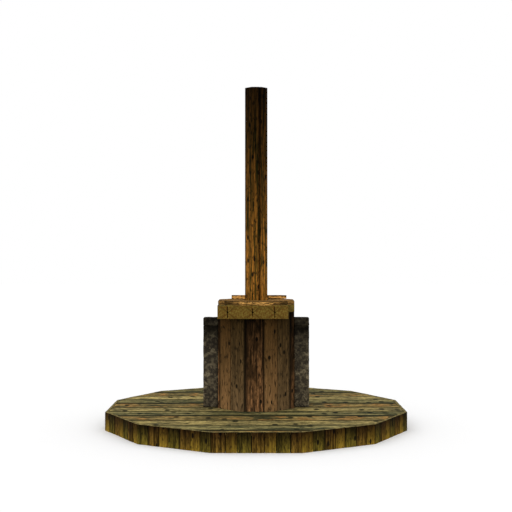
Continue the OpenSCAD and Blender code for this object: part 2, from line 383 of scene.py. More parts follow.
def sawn_wood(name, darks, lights, dirt, streak, fibre, fibre_strengths, check, check_strength, check_start,
              knot=(400, 190), knot_share=0.08, knot_bare=0.0, soak=-0.45, ring=14, ring_strength=0.16,
              wear=0.5, patch=None, rise=None, tops=None):
    """Weathered sawn wood: streaks along the grain, short checks, knots, and dirt along the joints.

    darks, lights, fibre_strengths and tops hold a value for each kind of board. streak, fibre and check are
    the length and width of each, knot is the distance between knots along and across the grain and ring that
    between growth rings on the sawn face, all in millimetres. check_start is the noise that a check starts
    at, knot_share a knot's share of its room, knot_bare how readily that room stays empty, soak how solid the
    dirt is and wear how rough the face is. Between the two heights in rise the colour darkens upwards to
    tops, a painted shade.
    """
    material, tree, shader = new_material(name)
    grain = add_node(tree, "UVMap", out="UV", uv_map="grain")
    marks = add_node(tree, "Attribute", out="Vector", attribute_name="board")
    marks = add_node(tree, "SeparateXYZ", {0: marks}, None)
    kind = add_node(tree, "Math", {0: marks["X"], 1: 0.5}, operation="MULTIPLY")

    # Streaks of early and late wood between the dark and the light tone of the board's kind
    streaks = grain_noise(tree, grain, streak, Detail=4.0, Roughness=0.6, Distortion=0.4)
    tone = add_node(tree, "MapRange", {"Value": streaks, "From Min": 0.36, "From Max": 0.64},
                    interpolation_type="SMOOTHSTEP")
    dark = add_node(tree, "ValToRGB", {"Fac": kind}, "Color", by_kind(darks), "CONSTANT")
    light = add_node(tree, "ValToRGB", {"Fac": kind}, "Color", by_kind(lights), "CONSTANT")
    colour = add_node(tree, "Mix", {MIX_FACTOR: tone, MIX_FIRST: dark, MIX_SECOND: light}, MIX_RESULT,
                      data_type="RGBA")

    # Patches of another tone in the red boards, half as long and about three times as wide as a streak
    if patch is not None:
        blot = grain_noise(tree, grain, (streak[0] / 2, streak[1] / 0.35), shift=(7.0, 3.0, 0.0),
                           Detail=3.0, Roughness=0.6, Distortion=0.3)
        blot = add_node(tree, "MapRange", {"Value": blot, "From Min": 0.50, "From Max": 0.64, "To Max": 0.7})
        red = add_node(tree, "Math", {0: kind, 1: 0.25}, operation="LESS_THAN")
        blot = add_node(tree, "Math", {0: blot, 1: red}, operation="MULTIPLY")
        colour = add_node(tree, "Mix", {MIX_FACTOR: blot, MIX_FIRST: colour, MIX_SECOND: (*patch, 1.0)},
                          MIX_RESULT, data_type="RGBA")

    # Fibres, finer than the streaks
    fibres = grain_noise(tree, grain, fibre, Detail=3.0, Roughness=0.6)
    fibres = add_node(tree, "MapRange", {"Value": fibres, "From Min": 0.3, "From Max": 0.7, "To Min": -1.0})
    strengths = by_kind([grey(value) for value in fibre_strengths])
    strength = add_node(tree, "ValToRGB", {"Fac": kind}, "Color", strengths, "CONSTANT")
    fibres = add_node(tree, "Math", {0: fibres, 1: strength, 2: 1.0}, operation="MULTIPLY_ADD")
    colour = add_node(tree, "VectorMath", {0: colour, "Scale": fibres}, operation="SCALE")

    # Growth rings that the saw cut into long arcs, one to a unit of the map
    scale = (RING_STRETCH / (ring * MM), 1 / (ring * MM), 1.0)
    place = add_node(tree, "Mapping", {"Vector": grain, "Scale": scale})
    rings = add_node(tree, "TexWave", {
        "Vector": place, "Scale": WAVE_UNIT, "Distortion": 14.0, "Detail": 2.0, "Detail Scale": 0.6,
    }, "Fac", wave_type="BANDS", bands_direction="Y")
    arcs = add_node(tree, "Math", {0: rings, 1: -2 * ring_strength, 2: 1 + ring_strength},
                    operation="MULTIPLY_ADD")
    colour = add_node(tree, "VectorMath", {0: colour, "Scale": arcs}, operation="SCALE")

    # Short checks, and knots with soft edges in some of the cells
    checks = grain_noise(tree, grain, check, Detail=2.0, Roughness=0.5, Distortion=0.2)
    checks = add_node(tree, "MapRange", {
        "Value": checks, "From Min": check_start, "From Max": check_start + 0.1, "To Max": check_strength,
    })
    scale = (1 / (knot[0] * MM), 1 / (knot[1] * MM), 1.0)
    place = add_node(tree, "Mapping", {"Vector": grain, "Scale": scale})
    cell = add_node(tree, "TexVoronoi", {"Vector": place, "Scale": 1.0}, None, voronoi_dimensions="2D")
    knots = add_node(tree, "MapRange", {
        "Value": cell["Distance"], "From Min": 0.8 * knot_share, "From Max": 1.2 * knot_share,
        "To Min": 0.95, "To Max": 0.0,
    })
    held = add_node(tree, "Math", {0: cell["Color"], 1: knot_bare}, operation="GREATER_THAN")
    knots = add_node(tree, "Math", {0: knots, 1: held}, operation="MULTIPLY")

    # Dirt along both edges, as wide as the board's own marks say
    edge = add_node(tree, "Attribute", out="Vector", attribute_name="edge")
    edge = add_node(tree, "SeparateXYZ", {0: edge}, None)
    across = add_node(tree, "UVMap", out="UV", uv_map="place")
    across = add_node(tree, "SeparateXYZ", {0: across}, "Y")
    stains = []
    for sign, width in ((1.0, edge["Y"]), (-1.0, edge["Z"])):
        inset = add_node(tree, "Math", {0: across, 1: sign, 2: edge["X"]}, operation="MULTIPLY_ADD")
        stains.append(add_node(tree, "Math", {0: inset, 1: width}, operation="DIVIDE"))
    stain = add_node(tree, "Math", {0: stains[0], 1: stains[1]}, operation="MINIMUM")
    stain = add_node(tree, "Math", {0: streaks, 1: -DIRT_STREAKS, 2: stain}, operation="MULTIPLY_ADD")
    stain = add_node(tree, "MapRange", {
        "Value": stain, "From Min": soak, "From Max": 0.5, "To Min": 0.9, "To Max": 0.0,
    }, interpolation_type="SMOOTHSTEP")
    marked = add_node(tree, "Math", {0: checks, 1: knots}, operation="MAXIMUM")
    marked = add_node(tree, "Math", {0: marked, 1: stain}, operation="MAXIMUM")
    colour = add_node(tree, "Mix", {MIX_FACTOR: marked, MIX_FIRST: colour, MIX_SECOND: (*dirt, 1.0)},
                      MIX_RESULT, data_type="RGBA")

    # Each board has its own tone, and its end grain is darker
    own = add_node(tree, "Math", {0: marks["Z"], 1: -END_LOSS, 2: marks["Y"]}, operation="MULTIPLY_ADD")
    colour = add_node(tree, "VectorMath", {0: colour, "Scale": own}, operation="SCALE")

    # Painted shade: the colour darkens towards the top, between the two heights in rise
    if tops:
        height = add_node(tree, "TexCoord", out="Object")
        height = add_node(tree, "SeparateXYZ", {0: height}, "Z")
        height = add_node(tree, "MapRange", {"Value": height, "From Min": rise[0], "From Max": rise[1]})
        top = add_node(tree, "ValToRGB", {"Fac": kind}, "Color", by_kind(tops), "CONSTANT")
        shade = add_node(tree, "Mix", {MIX_FACTOR: height, MIX_FIRST: WHITE, MIX_SECOND: top}, MIX_RESULT,
                         data_type="RGBA")
        shade = add_node(tree, "Gamma", {"Color": shade, "Gamma": SEEN})
        colour = add_node(tree, "VectorMath", {0: colour, 1: shade}, operation="MULTIPLY")

    relief = add_node(tree, "Math", {0: marked, 1: -MARK_RELIEF, 2: streaks}, operation="MULTIPLY_ADD")
    relief = add_node(tree, "Math", {0: rings, 1: -RING_RELIEF, 2: relief}, operation="MULTIPLY_ADD")
    set_surface(tree, shader, colour, relief, roughness=0.9, shine=0.02, wear=wear, depth=3 * MM)
    return material


def board_tones(colours, piece):
    """Dark and light tones of a piece's red, golden and olive boards."""
    darks = [getattr(colours, f"{piece}_{kind}_dark") for kind in KINDS]
    lights = [getattr(colours, f"{piece}_{kind}") for kind in KINDS]
    return darks, lights


def deck_oak(colours):
    """Weathered oak underfoot: olive and tan, orange where it wears and soaked black at the joints."""
    # Streaks and knots are drawn coarse, because the deck is seen nearly edge-on, where finer ones don't show
    return sawn_wood(
        "weathered oak deck boards", *board_tones(colours, "deck"), colours.deck_dirt, streak=(550, 85),
        fibre=(70, 50), fibre_strengths=(0.45,), check=(160, 50), check_strength=0.85, check_start=0.60,
        knot=(240, 350), knot_share=0.15, knot_bare=0.44, soak=-0.05, ring=16, ring_strength=0.18,
        patch=colours.deck_patch,
    )


def rim_larch(colours, foot, head):
    """Weathered larch on edge: golden at the foot, with painted shade that darkens it up to the deck, and
    upright streaks.
    """
    return sawn_wood(
        "weathered larch rim boards", *board_tones(colours, "rim"), colours.joint_dirt, streak=(500, 36),
        fibre=(83, 12), fibre_strengths=(0.5, 0.25, 0.5), check=(60, 22), check_strength=0.55,
        # rise and tops paint shade that darkens each kind of rim board towards the deck
        check_start=0.57, rise=(foot, head),
        tops=((0.37, 0.33, 0.42), (0.35, 0.31, 0.40), (0.32, 0.30, 0.39)),
    )


def rim_top_larch(colours):
    """Weathered larch on top: the end grain of the rim boards, as pale and dirty as the deck beside it."""
    return sawn_wood(
        "weathered larch rim tops", (colours.deck_gold_dark,), (colours.deck_gold,), colours.deck_dirt,
        streak=(200, 36), fibre=(33, 12), fibre_strengths=(0.5,), check=(60, 22), check_strength=0.55,
        check_start=0.57,
    )


def stave_oak(colours, foot, head):
    """Weathered oak staves: red-brown and dull brown, with dark knots, and painted shade that makes them
    nearly black under the lid.
    """
    return sawn_wood(
        "weathered oak staves", *board_tones(colours, "stave"), colours.joint_dirt, streak=(550, 34),
        fibre=(92, 11.3), fibre_strengths=(0.6, 0.22, 0.36), check=(90, 26), check_strength=0.7,
        # rise and tops paint shade that darkens the staves towards the lid, the red ones most
        check_start=0.58, knot=(400, 250), knot_share=0.07, patch=colours.stave_patch, rise=(foot, head),
        tops=((0.22, 0.22, 0.20), (0.39, 0.37, 0.30), (0.43, 0.41, 0.33)),
    )


def lid_pine(colours):
    """Weathered pine of the lid: calm tan tops, and fresher, mottled edges where the wood breaks off."""
    return sawn_wood(
        "weathered pine lid boards", (colours.lid_dark, colours.lid_edge_dark),
        (colours.lid_light, colours.lid_edge), colours.joint_dirt, streak=(350, 30), fibre=(55, 14),
        fibre_strengths=(0.35, 0.9), check=(50, 20), check_strength=0.85, check_start=0.585, ring=16,
        ring_strength=0.2, wear=0.3,
    )


def hewn_oak(name, colours):
    """Hewn oak of the beam and its packing: olive-brown, rough and evenly streaked."""
    return sawn_wood(
        name, (colours.beam_side_dark,), (colours.beam_side,), colours.joint_dirt, streak=(400, 34),
        fibre=(67, 11.3), fibre_strengths=(0.5,), check=(60, 22), check_strength=0.6, check_start=0.57,
    )


def post_pine(colours, foot, head):
    """Pitch pine of the post: orange and dark streaks that run its height, with painted shade that darkens it
    towards the top.
    """
    return sawn_wood(
        "pitch pine post", (colours.post_dark,), (colours.post_light,), colours.joint_dirt, streak=(800, 36),
        fibre=(133, 12), fibre_strengths=(0.5,), check=(70, 24), check_strength=0.7, check_start=0.57,
        # rise and tops paint shade that darkens the post upwards
        rise=(foot, head), tops=((0.17, 0.18, 0.20),),
    )


def end_grain(colours):
    """Oak end grain: rings round the heart, checks towards the corners, and a shake at the heart whose walls
    are painted dark as shade.
    """
    material, tree, shader = new_material("oak beam end grain")
    grain = add_node(tree, "UVMap", out="UV", uv_map="grain")
    marks = add_node(tree, "Attribute", out="Vector", attribute_name="board")
    marks = add_node(tree, "SeparateXYZ", {0: marks}, None)
    # Swirls 50 mm across bend the rings by up to 12 mm
    swirl = add_node(tree, "TexNoise", {"Vector": grain, "Scale": 1 / (50 * MM), "Detail": 2.0}, "Color",
                     noise_dimensions="2D")
    bent = add_node(tree, "VectorMath", {0: swirl, 1: (12 * MM, 12 * MM, 0.0), 2: grain},
                    operation="MULTIPLY_ADD")
    radius = add_node(tree, "VectorMath", {0: bent}, "Value", operation="LENGTH")
    # Rings 16 mm apart, drawn coarse enough to show
    ring = add_node(tree, "Math", {0: radius, 1: math.tau / (16 * MM)}, operation="MULTIPLY")
    ring = add_node(tree, "Math", {0: ring}, operation="SINE")
    # Specks about 24 mm across
    speck = add_node(tree, "TexNoise", {"Vector": grain, "Scale": 1 / (23.8 * MM), "Detail": 3.0}, "Fac",
                     noise_dimensions="2D")
    tone = add_node(tree, "Math", {0: ring, 1: 0.14, 2: speck}, operation="MULTIPLY_ADD")
    tone = add_node(tree, "MapRange", {"Value": tone, "From Min": 0.36, "From Max": 0.62})
    colour = add_node(tree, "Mix", {
        MIX_FACTOR: tone, MIX_FIRST: (*colours.beam_end_dark, 1.0), MIX_SECOND: (*colours.beam_end, 1.0),
    }, MIX_RESULT, data_type="RGBA")
    # Drying checks that run from the heart towards the corners and fade on the way
    way = add_node(tree, "VectorMath", {0: bent, 1: (1.0, 1.25, 0.0)}, operation="MULTIPLY")
    way = add_node(tree, "VectorMath", {0: way}, operation="NORMALIZE")
    axes = add_node(tree, "SeparateXYZ", {0: way}, None)
    ray = add_node(tree, "Math", {0: axes["X"], 1: axes["Y"]}, operation="MULTIPLY")
    ray = add_node(tree, "Math", {0: ray}, operation="ABSOLUTE")
    ray = add_node(tree, "Math", {0: speck, 1: 0.2, 2: ray}, operation="MULTIPLY_ADD")
    ray = add_node(tree, "MapRange", {"Value": ray, "From Min": 0.55, "From Max": 0.62})
    near = add_node(tree, "MapRange", {
        "Value": radius, "From Min": 20 * MM, "From Max": 200 * MM, "To Min": 0.75, "To Max": 0.1,
    })
    ray = add_node(tree, "Math", {0: ray, 1: near}, operation="MULTIPLY")
    # The walls of the heart shake take the dark shake colour as painted shade in the crack; the drying checks
    # take it as drawn cracks
    split = add_node(tree, "Math", {0: marks["Z"], 1: END_MARK}, operation="SUBTRACT", use_clamp=True)
    split = add_node(tree, "Math", {0: split, 1: ray}, operation="MAXIMUM")
    colour = add_node(tree, "Mix", {
        MIX_FACTOR: split, MIX_FIRST: colour, MIX_SECOND: (*colours.beam_check_and_shake_shade, 1.0),
    }, MIX_RESULT, data_type="RGBA")
    set_surface(tree, shader, colour, tone, roughness=0.95, shine=0.02, wear=0.5, depth=2 * MM)
    return material


def hewn_basalt(colours, foot, top):
    """Hewn basalt: dark and dull, mottled and veined, with painted shade under the coping and a little at the
    foot.
    """
    material, tree, shader = new_material("hewn basalt")
    place = add_node(tree, "TexCoord", out="Object")
    # Mottles 45 mm across with finer grit in them
    mottle = add_node(tree, "TexNoise", {
        "Vector": place, "Scale": 1 / (45 * MM), "Detail": 6.0, "Roughness": 0.66, "Distortion": 0.3,
    }, "Fac")
    tone = add_node(tree, "MapRange", {"Value": mottle, "From Min": 0.40, "From Max": 0.66},
                    interpolation_type="SMOOTHSTEP")
    colour = add_node(tree, "Mix", {
        MIX_FACTOR: tone, MIX_FIRST: (*colours.stone_dark, 1.0), MIX_SECOND: (*colours.stone_light, 1.0),
    }, MIX_RESULT, data_type="RGBA")
    # Pale broken veins, about 150 mm apart, with bends about 75 mm long
    bent = add_node(tree, "VectorMath", {0: place, "Scale": 1 / (150 * MM)}, operation="SCALE")
    bend = add_node(tree, "TexNoise", {"Vector": bent, "Scale": 2.0, "Detail": 3.0}, "Color")
    bent = add_node(tree, "VectorMath", {0: bent, 1: bend}, operation="ADD")
    vein = add_node(tree, "TexVoronoi", {"Vector": bent, "Scale": 1.0}, "Distance",
                    feature="DISTANCE_TO_EDGE")
    vein = add_node(tree, "MapRange", {"Value": vein, "From Max": 0.09, "To Min": 1.0, "To Max": 0.0})
    vein = add_node(tree, "Math", {0: vein, 1: tone}, operation="MULTIPLY")
    colour = add_node(tree, "Mix", {
        MIX_FACTOR: vein, MIX_FIRST: colour, MIX_SECOND: (*colours.stone_vein, 1.0),
    }, MIX_RESULT, data_type="RGBA")
    # Painted shade by height: darkest under the coping and a little darker at the foot
    height = add_node(tree, "SeparateXYZ", {0: place}, "Z")
    height = add_node(tree, "MapRange", {"Value": height, "From Min": foot, "From Max": top})
    stops = [(share, grey(left)) for share, left in STONE_SHADE_BY_HEIGHT]
    painted_shade = add_node(tree, "ValToRGB", {"Fac": height}, "Color", stops)
    colour = add_node(tree, "VectorMath", {0: colour, 1: painted_shade}, operation="MULTIPLY")
    set_surface(tree, shader, colour, mottle, roughness=0.95, shine=0.03, wear=0.8, depth=4 * MM)
    return material


def rusted_iron(name, iron):
    """Forged iron with a dry brown rust, dull and rough all over."""
    material, tree, shader = new_material(name)
    place = add_node(tree, "TexCoord", out="Object")
    # Spots of rust 6 mm across
    rust = add_node(tree, "TexNoise", {"Vector": place, "Scale": 1 / (6 * MM), "Detail": 2.0}, "Fac")
    stops = [(0.4, tuple(c * 0.6 for c in iron)), (0.65, iron)]
    colour = add_node(tree, "ValToRGB", {"Fac": rust}, "Color", stops)
    tree.links.new(colour, shader.inputs["Base Color"])
    shader.inputs["Roughness"].default_value = 0.8
    shader.inputs["Metallic"].default_value = 0.2
    return material


def whole(bm):
    """All of a mesh, as the cutting operators take it."""
    return bm.verts[:] + bm.edges[:] + bm.faces[:]


def only_verts(geometry):
    """The vertices in what an operator made."""
    return [part for part in geometry if isinstance(part, bmesh.types.BMVert)]


def each_once(parts):
    """Parts of a mesh without repeats, in the order that they come in."""
    return list(dict.fromkeys(parts))


def cut_cells(bm, size, axis, cuts):
    """Cuts a block across one of its axes into equal cells."""
    edges = [e for e in bm.edges if abs((e.verts[0].co - e.verts[1].co)[axis]) > size[axis] / 2]
    bmesh.ops.subdivide_edges(bm, edges=edges, cuts=cuts, use_grid_fill=True)


def sawn_block(size, cells, wander=0.0, seed=0):
    """A sawn block along +X, centred, in cells along and across, with edges that wander inwards."""
    bm = bmesh.new()
    bmesh.ops.create_cube(bm, size=1.0, matrix=Matrix.Diagonal((*size, 1.0)))
    for axis, count in enumerate(cells):
        if count > 1:
            cut_cells(bm, size, axis, count - 1)
    along, across, step = WANDER_BENDS
    for vert in bm.verts:
        where = Vector((vert.co.x * along, vert.co.y * across, seed * step))
        if abs(vert.co.y) > size[1] / 2 - SAME_PLACE:
            vert.co.y -= math.copysign(wander, vert.co.y) * abs(noise.noise(where))
    return bm


def trim(bm, point, normal, close=True):
    """Cuts away what lies beyond a plane, and closes the cut unless the mesh is a flat sheet."""
    cut = bmesh.ops.bisect_plane(bm, geom=whole(bm), plane_co=point, plane_no=normal, clear_outer=True)
    rim = [e for e in cut["geom_cut"] if isinstance(e, bmesh.types.BMEdge)]
    if rim and close:
        bmesh.ops.contextual_create(bm, geom=rim)


def octagon(bm, apothem, height, filled=True):
    """An eight-sided sheet round the post's axis with a flat side to the front, or its outline alone."""
    turn = Matrix.Translation((0, 0, height)) @ Matrix.Rotation(math.pi / DRUM_SIDES, 4, "Z")
    radius = apothem / math.cos(math.pi / DRUM_SIDES)
    return bmesh.ops.create_circle(bm, segments=DRUM_SIDES, radius=radius, cap_ends=filled, matrix=turn)


def draw_up(bm, height):
    """Raises a flat sheet to a block."""
    raised = bmesh.ops.extrude_face_region(bm, geom=bm.faces[:])["geom"]
    bmesh.ops.translate(bm, vec=(0.0, 0.0, height), verts=only_verts(raised))
    bmesh.ops.recalc_face_normals(bm, faces=bm.faces)


def round_arrises(bm, radius, sharp=SHARP, worn=lambda edge: True):
    """Rounds every edge that is sharp and worn."""
    edges = [e for e in bm.edges if len(e.link_faces) == 2 and e.calc_face_angle() > sharp and worn(e)]
    bmesh.ops.bevel(bm, geom=edges, offset=radius, offset_type="OFFSET", segments=2, profile=0.5,
                    affect="EDGES", clamp_overlap=True, material=-1)


def mark_board(bm, to_world, kind, tone, half, dirt, shift):
    """Writes the grain map, the place on the board and the board's marks on every face.

    The grain runs along the board's own X. shift moves the grain so that no two boards are alike.
    half is half the board's width, and dirt the width of the dirt along its low and its high edge.
    """
    grain = bm.loops.layers.uv.new("grain")
    place = bm.loops.layers.uv.new("place")
    board = bm.faces.layers.float_vector.new("board")
    edge = bm.faces.layers.float_vector.new("edge")
    to_board = to_world.inverted()
    for face in bm.faces:
        normal = to_board.to_3x3() @ face.normal
        end = abs(normal.x) > END_FACING
        upright = abs(normal.y) > abs(normal.z)
        face[board] = (kind, tone, END_MARK if end else 0.0)
        face[edge] = (half + DIRT_MARGIN, *dirt)
        face.smooth = False
        for loop in face.loops:
            spot = to_board @ loop.vert.co
            across = spot.z + half if upright else spot.y
            loop[grain].uv = (spot.y, spot.z) if end else (spot.x + shift, across + shift)
            loop[place].uv = (spot.x, spot.y)


def gather(target, bm):
    """Adds a finished board to the piece it belongs to, without the slivers that its cuts left."""
    bmesh.ops.dissolve_degenerate(bm, dist=LEAST_EDGE, edges=bm.edges)
    mesh = bpy.data.meshes.new("board")
    bm.to_mesh(mesh)
    bm.free()
    target.from_mesh(mesh)
    bpy.data.meshes.remove(mesh)


def finish_piece(bm, name, materials, nodes=()):
    """Makes the piece's object, with its place in its mesh, and ties it to the frame."""
    mesh = bpy.data.meshes.new(name)
    bm.to_mesh(mesh)
    bm.free()
    for material in materials:
        mesh.materials.append(material)
    piece = bpy.data.objects.new(name, mesh)
    bpy.context.scene.collection.objects.link(piece)
    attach(piece, "root")
    if nodes:
        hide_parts(*nodes)
    return piece


def side_frame(sides, index, apothem):
    """Place of a board on one side of an outline: X up, Y to the right, Z inwards, from the outer face."""
    angle = math.tau * index / sides - math.pi / 2
    outward = Vector((math.cos(angle), math.sin(angle), 0.0))
    right = Vector((-math.sin(angle), math.cos(angle), 0.0))
    axes = Matrix((Vector((0, 0, 1)), right, -outward)).transposed()
    return Matrix.Translation(outward * apothem) @ axes.to_4x4()


def lay_boards(run, start, sides, side_length, least):
    """Boards on each side of an outline, as (low, high, kind), from a run of widths that repeats round it.

    A board that meets a corner is parted there, and a part narrower than least joins its neighbour.
    """
    period = sum(width for kind, width in run)
    walls = []
    for side in range(sides):
        turn = side - sides if side > sides / 2 else side
        low = (turn - 0.5) * side_length
        high = low + side_length
        boards = []
        at = start + math.floor((low - start) / period) * period
        while at < high:
            for kind, width in run:
                first, last = max(at, low), min(at + width, high)
                at += width
                if last > first:
                    boards.append([first - low - side_length / 2, last - low - side_length / 2, kind])
        if boards[0][1] - boards[0][0] < least:
            boards[1][0] = boards[0][0]
            boards.pop(0)
        if boards[-1][1] - boards[-1][0] < least:
            boards[-2][1] = boards[-1][1]
            boards.pop()
        walls.append(boards)
    return walls


def between_joints(low, high, side_length, gap):
    """Edges of an upright board between its joints, of which a corner has none."""
    first = low + (gap / 2 if low > -side_length / 2 else 0.0)
    last = high - (gap / 2 if high < side_length / 2 else 0.0)
    return first, last


def upright_board(place, foot, first, last, tall, thick, sunk, cells, wander, seed):
    """An upright board on one side of an outline, its face sunk behind the side's, and its own place."""
    bm = sawn_block((tall, last - first, thick - sunk), cells, wander, seed)
    centre = Vector((foot + tall / 2, (first + last) / 2, (thick + sunk) / 2))
    to_world = place @ Matrix.Translation(centre)
    bmesh.ops.transform(bm, matrix=to_world, verts=bm.verts)
    return bm, to_world


def mitre(bm, sides, index, gap):
    """Cuts both ends of one side's board on the radial planes through the side's corners."""
    middle = math.tau * index / sides - math.pi / 2
    for sign in (1.0, -1.0):
        corner = middle + sign * math.pi / sides
        normal = Vector((-math.sin(corner), math.cos(corner), 0.0)) * sign
        trim(bm, -normal * gap, normal)


def add_nail(bm, point, outward, radius):
    """A forged rose-head nail at a point of the face, seated in the wood and a little proud of it."""
    turn = outward.to_track_quat("Z", "Y").to_matrix().to_4x4()
    height = radius * NAIL_HEIGHT
    centre = point - outward * NAIL_SEAT + outward * height * NAIL_RISE
    bmesh.ops.create_cone(bm, cap_ends=True, segments=NAIL_SIDES, radius1=radius, radius2=radius * NAIL_CROWN,
                          depth=height, matrix=Matrix.Translation(centre) @ turn)


class WINDMILL_OT_deck_boards(Operator):
    """Lays the deck boards and the joists under them"""

    bl_idname = "windmill.deck_boards"
    bl_label = "Deck boards"

    def execute(self, context):
        sizes, colours = context.scene.windmill_sizes, context.scene.windmill_colours
        rng = random.Random(DECK_SEED)
        low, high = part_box("deck_planks")
        apothem = high.y
        wood = deck_oak(colours)
        reach = math.ceil(apothem / PLANK_PITCH) + 1
        joints = [k * PLANK_PITCH - PLANK_LEAD for k in range(-reach, reach + 1)]
        joints = [y for y in joints if abs(y) < apothem - PLANK_LEAST]
        edges = [-apothem, *joints, apothem]
        boards, nails = bmesh.new(), bmesh.new()
        rows = []
        for index, (y0, y1) in enumerate(zip(edges, edges[1:])):
            kind = PLANK_KINDS[index % len(PLANK_KINDS)]
            strong_low, strong_high = kind == OLIVE, kind == RED
            y0 += (sizes.strong_gap if strong_low else sizes.plain_gap) / 2
            y1 -= (sizes.strong_gap if strong_high else sizes.plain_gap) / 2
            size = (2 * high.x, y1 - y0, high.z - low.z)
            bm = sawn_block(size, PLANK_CELLS, sizes.board_wander, index)
            self.wear_hollows(bm, index)
            to_world = Matrix.Translation((0.0, (y0 + y1) / 2, (low.z + high.z) / 2))
            bmesh.ops.transform(bm, matrix=to_world, verts=bm.verts)
            self.trim_to_deck(bm, apothem)
            round_arrises(bm, sizes.board_arris)
            dirt = [
                STRONG_DIRT[0] if strong_low else PLAIN_DIRT,
                STRONG_DIRT[1] if strong_high else PLAIN_DIRT,
            ]
            if index == 0:
                dirt[0] = DECK_EDGE_DIRT
            if index == len(joints):
                dirt[1] = DECK_EDGE_DIRT
            mark_board(bm, to_world, kind, rng.uniform(*PLANK_TONES), (y1 - y0) / 2, dirt,
                       rng.uniform(0, GRAIN_SHIFT))
            gather(boards, bm)
            rows.append((y0, y1))
        finish_piece(boards, "deck_boards", [wood], ["deck_planks"])
        self.lay_joists(sizes, wood, rows, nails)
        finish_piece(nails, "deck_nails", [rusted_iron("rusted iron deck nails", colours.nail_iron)])
        return {"FINISHED"}

    def wear_hollows(self, bm, index):
        """Wears shallow hollows in the top of a deck board."""
        along, across, step = PLANK_HOLLOWS
        for vert in bm.verts:
            if vert.co.z > 0:
                where = Vector((vert.co.x * along, vert.co.y * across, index * step))
                vert.co.z -= PLANK_WEAR * abs(noise.noise(where))

    def trim_to_deck(self, bm, apothem):
        """Cuts a board or a joist off on the twelve sides of the deck."""
        for side in range(DECK_SIDES):
            angle = math.tau * side / DECK_SIDES
            outward = Vector((math.cos(angle), math.sin(angle), 0.0))
            trim(bm, outward * (apothem - DECK_MARGIN), outward)

    def lay_joists(self, sizes, wood, rows, nails):
        """Joists from the frame's box, and a pair of nails where each board crosses one."""
        low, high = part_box("deck_joists")
        deck_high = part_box("deck_planks")[1]
        apothem, width = deck_high.y, 2 * (deck_high.x - high.x)
        drum = -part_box("drum_front")[0].y
        joists = bmesh.new()
        pitch = (apothem - width) / JOISTS_EACH_WAY
        nail_rows = [y for y0, y1 in rows for y in (y0 + DECK_NAIL_INSET, y1 - DECK_NAIL_INSET)]
        for index in range(-JOISTS_EACH_WAY, JOISTS_EACH_WAY + 1):
            size = (2 * apothem, width, high.z - low.z)
            bm = sawn_block(size, JOIST_CELLS, sizes.board_wander, index + JOIST_SEED)
            turn = Matrix.Rotation(math.pi / 2, 4, "Z")
            to_world = Matrix.Translation((index * pitch, 0.0, (low.z + high.z) / 2)) @ turn
            bmesh.ops.transform(bm, matrix=to_world, verts=bm.verts)
            self.trim_to_deck(bm, apothem)
            round_arrises(bm, sizes.board_arris)
            mark_board(bm, to_world, OLIVE, JOIST_TONE, width / 2, TIMBER_DIRT, index * JOIST_SHIFT)
            gather(joists, bm)
            for y in nail_rows:
                where = Vector((y * DECK_NAIL_BENDS[0], index * DECK_NAIL_BENDS[1], DECK_NAIL_BENDS[2]))
                x = index * pitch + DECK_NAIL_DRIFT * noise.noise(where)
                from_drum = max(abs(x), abs(y), (abs(x) + abs(y)) / math.sqrt(2)) - drum
                if math.hypot(x, y) < apothem - DECK_NAIL_RIM and from_drum >= DECK_NAIL_DRUM:
                    add_nail(nails, Vector((x, y, deck_high.z)), Vector((0, 0, 1)), sizes.nail_radius)
        finish_piece(joists, "joists", [wood], ["deck_joists"])


class WINDMILL_OT_rim_boards(Operator):
    """Sets the short upright boards round the rim of the deck"""

    bl_idname = "windmill.rim_boards"
    bl_label = "Rim boards"

    def execute(self, context):
        sizes, colours = context.scene.windmill_sizes, context.scene.windmill_colours
        rng = random.Random(RIM_SEED)
        low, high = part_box("rim_side_01")
        apothem, side_length, thick = -low.y, high.x - low.x, high.y - low.y
        woods = [rim_larch(colours, low.z, high.z), rim_top_larch(colours)]
        nails = bmesh.new()
        walls = lay_boards(RIM_RUN, RIM_START, DECK_SIDES, side_length, RIM_LEAST)
        for side, boards in enumerate(walls):
            piece = bmesh.new()
            place = side_frame(DECK_SIDES, side, apothem)
            outward = -(place.to_3x3() @ Vector((0, 0, 1)))
            for u0, u1, kind in boards:
                first, last = between_joints(u0, u1, side_length, sizes.plain_gap)
                sunk = rng.uniform(0.0, RIM_SUNK)
                tall = high.z - low.z - rng.uniform(0.0, RIM_SHORT)
                bm, to_world = upright_board(place, low.z, first, last, tall, thick, sunk, RIM_CELLS,
                                             sizes.board_wander, u0 * RIM_STEP + side)
                mitre(bm, DECK_SIDES, side, RIM_MITRE)
                round_arrises(bm, sizes.board_arris)
                mark_board(bm, to_world, kind, rng.uniform(*RIM_TONES), (last - first) / 2,
                           RIM_DIRT[kind], rng.uniform(0, GRAIN_SHIFT))
                for face in bm.faces:
                    face.material_index = 1 if face.normal.z > TOP_FACING else 0
                gather(piece, bm)
                heights = (RIM_NAIL_FOOT, tall - RIM_NAIL_HEAD) if last - first > RIM_NAILED else ()
                for height in heights:
                    across = (first + last) / 2 + rng.uniform(-RIM_NAIL_DRIFT, RIM_NAIL_DRIFT)
                    spot = place @ Vector((low.z + height, across, sunk))
                    add_nail(nails, spot, outward, sizes.nail_radius * RIM_NAIL_SHARE)
            number = f"{side + 1:02d}"
            finish_piece(piece, f"rim_boards_{number}", woods, [f"rim_side_{number}"])
        finish_piece(nails, "rim_nails", [rusted_iron("rusted iron rim nails", colours.nail_iron)])
        return {"FINISHED"}


